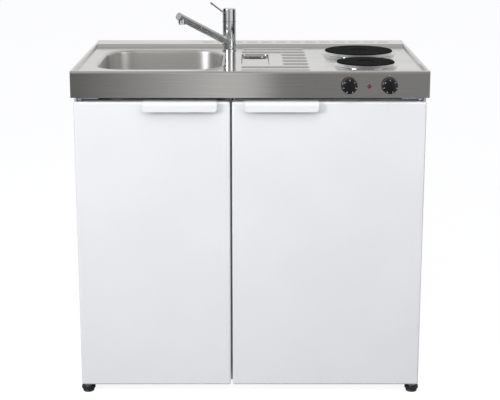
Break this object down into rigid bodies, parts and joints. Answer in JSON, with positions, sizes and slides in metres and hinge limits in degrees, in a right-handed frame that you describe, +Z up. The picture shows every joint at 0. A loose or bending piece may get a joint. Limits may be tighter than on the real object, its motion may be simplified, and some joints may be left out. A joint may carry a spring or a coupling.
{
  "type": "kitchenette unit with sink and hob",
  "caption": "Compact kitchenette: steel worktop with bowl, draining board, mixer tap and hot plates, on a cabinet with a sink cupboard and a refrigerator.",
  "frame": {"origin": "on the floor, at the middle of the unit's box", "axes": "+X to the right seen from the front, +Y to the wall behind, +Z up"},
  "size_m": [0.9, 0.62, 0.9939],
  "materials": {
    "brushed_stainless": "brushed",
    "bowl_stainless": "satin",
    "chrome": "polished",
    "white_enamel": "satin powder coat",
    "galvanised_sheet": "galvanised",
    "bracket_steel": "zinc plated",
    "black_iron": "blackened",
    "black_knob": "gloss",
    "red_lens": "clear red",
    "black_foot": "matt",
    "white_plastic": "gloss",
    "grey_plastic": "matt",
    "drain_plastic": "satin",
    "clear_plastic": "clear",
    "shelf_glass": "clear",
    "seal_rubber": "matt",
    "freezer_aluminium": "matt",
    "brass": "machined",
    "black_enamel": "satin"
  },
  "bodies": {
    "cabinet": {"worktop": "brushed_stainless", "overflow_well": "brushed_stainless", "sink_bowl": "bowl_stainless", "tap_base": "chrome", "spill_rings": "chrome", "waste_fitting": "chrome", "left_side": "white_enamel", "right_side": "white_enamel", "fridge_case": "white_enamel", "divider": "galvanised_sheet", "back_panel": "galvanised_sheet", "base_panel": "galvanised_sheet", "front_rail": "galvanised_sheet", "rear_rail": "galvanised_sheet", "hob_tray": "galvanised_sheet", "upper_hinge_brackets": "bracket_steel", "lower_hinge_brackets": "bracket_steel", "hot_plate_nuts": "bracket_steel", "rear_hot_plate": "black_iron", "front_hot_plate": "black_iron", "pilot_lamp": "red_lens", "fridge_liner": "white_plastic", "thermostat": "white_plastic", "switches": "white_plastic", "tap_cartridge": "white_plastic", "terminal_box": "grey_plastic", "overflow_pipe": "drain_plastic", "bottle_trap": "drain_plastic", "outlet_pipe": "drain_plastic", "glass_shelves": "shelf_glass", "evaporator": "freezer_aluminium", "tap_shank_nut": "brass", "compressor": "black_enamel", "condenser": "black_enamel"},
    "sink_door": {"sink_door": "white_enamel", "sink_door_back": "white_enamel", "sink_door_handle": "white_enamel", "sink_door_bushes": "grey_plastic"},
    "fridge_door": {"fridge_door": "white_enamel", "fridge_door_liner": "white_plastic", "fridge_door_handle": "white_enamel", "fridge_door_bushes": "grey_plastic", "fridge_door_gasket": "seal_rubber", "door_racks": "clear_plastic"},
    "freezer_flap": {"freezer_flap": "clear_plastic"},
    "crisper_drawer": {"crisper_drawer": "clear_plastic"},
    "thermostat_knob": {"thermostat_knob": "grey_plastic"},
    "left_knob": {"left_knob": "black_knob", "left_spindle": "bracket_steel"},
    "right_knob": {"right_knob": "black_knob", "right_spindle": "bracket_steel"},
    "tap_spout": {"tap_spout": "chrome", "tap_aerator": "chrome"},
    "tap_cap": {"tap_cap": "chrome"},
    "tap_lever": {"tap_lever": "chrome"},
    "basket_strainer": {"basket_strainer": "chrome"},
    "front_left_foot": {"front_left_foot": "black_foot"},
    "front_right_foot": {"front_right_foot": "black_foot"},
    "rear_left_foot": {"rear_left_foot": "black_foot"},
    "rear_right_foot": {"rear_right_foot": "black_foot"}
  },
  "joints": [
    {"name": "sink_door_hinge", "type": "hinge", "parent": "cabinet", "child": "sink_door", "pos_m": [-0.429, -0.268, 0.4], "axis": [0, 0, -1], "range_deg": [0, 110]},
    {"name": "fridge_door_hinge", "type": "hinge", "parent": "cabinet", "child": "fridge_door", "pos_m": [0.429, -0.268, 0.4], "axis": [0, 0, 1], "range_deg": [0, 110]},
    {"name": "freezer_flap_hinge", "type": "hinge", "parent": "cabinet", "child": "freezer_flap", "pos_m": [0.2008, -0.1237, 0.659], "axis": [1, 0, 0], "range_deg": [0, 90]},
    {"name": "crisper_slide", "type": "slide", "parent": "cabinet", "child": "crisper_drawer", "axis": [0, -1, 0], "range_m": [0, 0.045]},
    {"name": "thermostat_turn", "type": "hinge", "parent": "cabinet", "child": "thermostat_knob", "pos_m": [0.3828, -0.03, 0.54], "axis": [-1, 0, 0], "range_deg": [0, 270]},
    {"name": "left_knob_turn", "type": "hinge", "parent": "cabinet", "child": "left_knob", "pos_m": [0.248, -0.29, 0.8245], "axis": [0, -1, 0], "continuous": true},
    {"name": "right_knob_turn", "type": "hinge", "parent": "cabinet", "child": "right_knob", "pos_m": [0.3487, -0.29, 0.8245], "axis": [0, -1, 0], "continuous": true},
    {"name": "spout_swivel", "type": "hinge", "parent": "cabinet", "child": "tap_spout", "pos_m": [-0.059, 0.154, 0.89], "axis": [0, 0, 1], "range_deg": [-60, 80]},
    {"name": "tap_cap_turn", "type": "hinge", "parent": "cabinet", "child": "tap_cap", "pos_m": [-0.059, 0.154, 0.95], "axis": [0, 0, 1], "range_deg": [-50, 50]},
    {"name": "tap_lever_lift", "type": "hinge", "parent": "tap_cap", "child": "tap_lever", "pos_m": [-0.059, 0.154, 0.947], "axis": [-0.7071, 0.7071, 0], "range_deg": [0, 20]},
    {"name": "strainer_lift", "type": "slide", "parent": "cabinet", "child": "basket_strainer", "axis": [0, 0, 1], "range_m": [0, 0.06]},
    {"name": "front_left_foot_turn", "type": "hinge", "parent": "cabinet", "child": "front_left_foot", "pos_m": [-0.429, -0.268, 0.01], "axis": [0, 0, 1], "continuous": true},
    {"name": "front_right_foot_turn", "type": "hinge", "parent": "cabinet", "child": "front_right_foot", "pos_m": [0.429, -0.268, 0.01], "axis": [0, 0, 1], "continuous": true},
    {"name": "rear_left_foot_turn", "type": "hinge", "parent": "cabinet", "child": "rear_left_foot", "pos_m": [-0.414, 0.266, 0.01], "axis": [0, 0, 1], "continuous": true},
    {"name": "rear_right_foot_turn", "type": "hinge", "parent": "cabinet", "child": "rear_right_foot", "pos_m": [0.414, 0.266, 0.01], "axis": [0, 0, 1], "continuous": true}
  ]
}
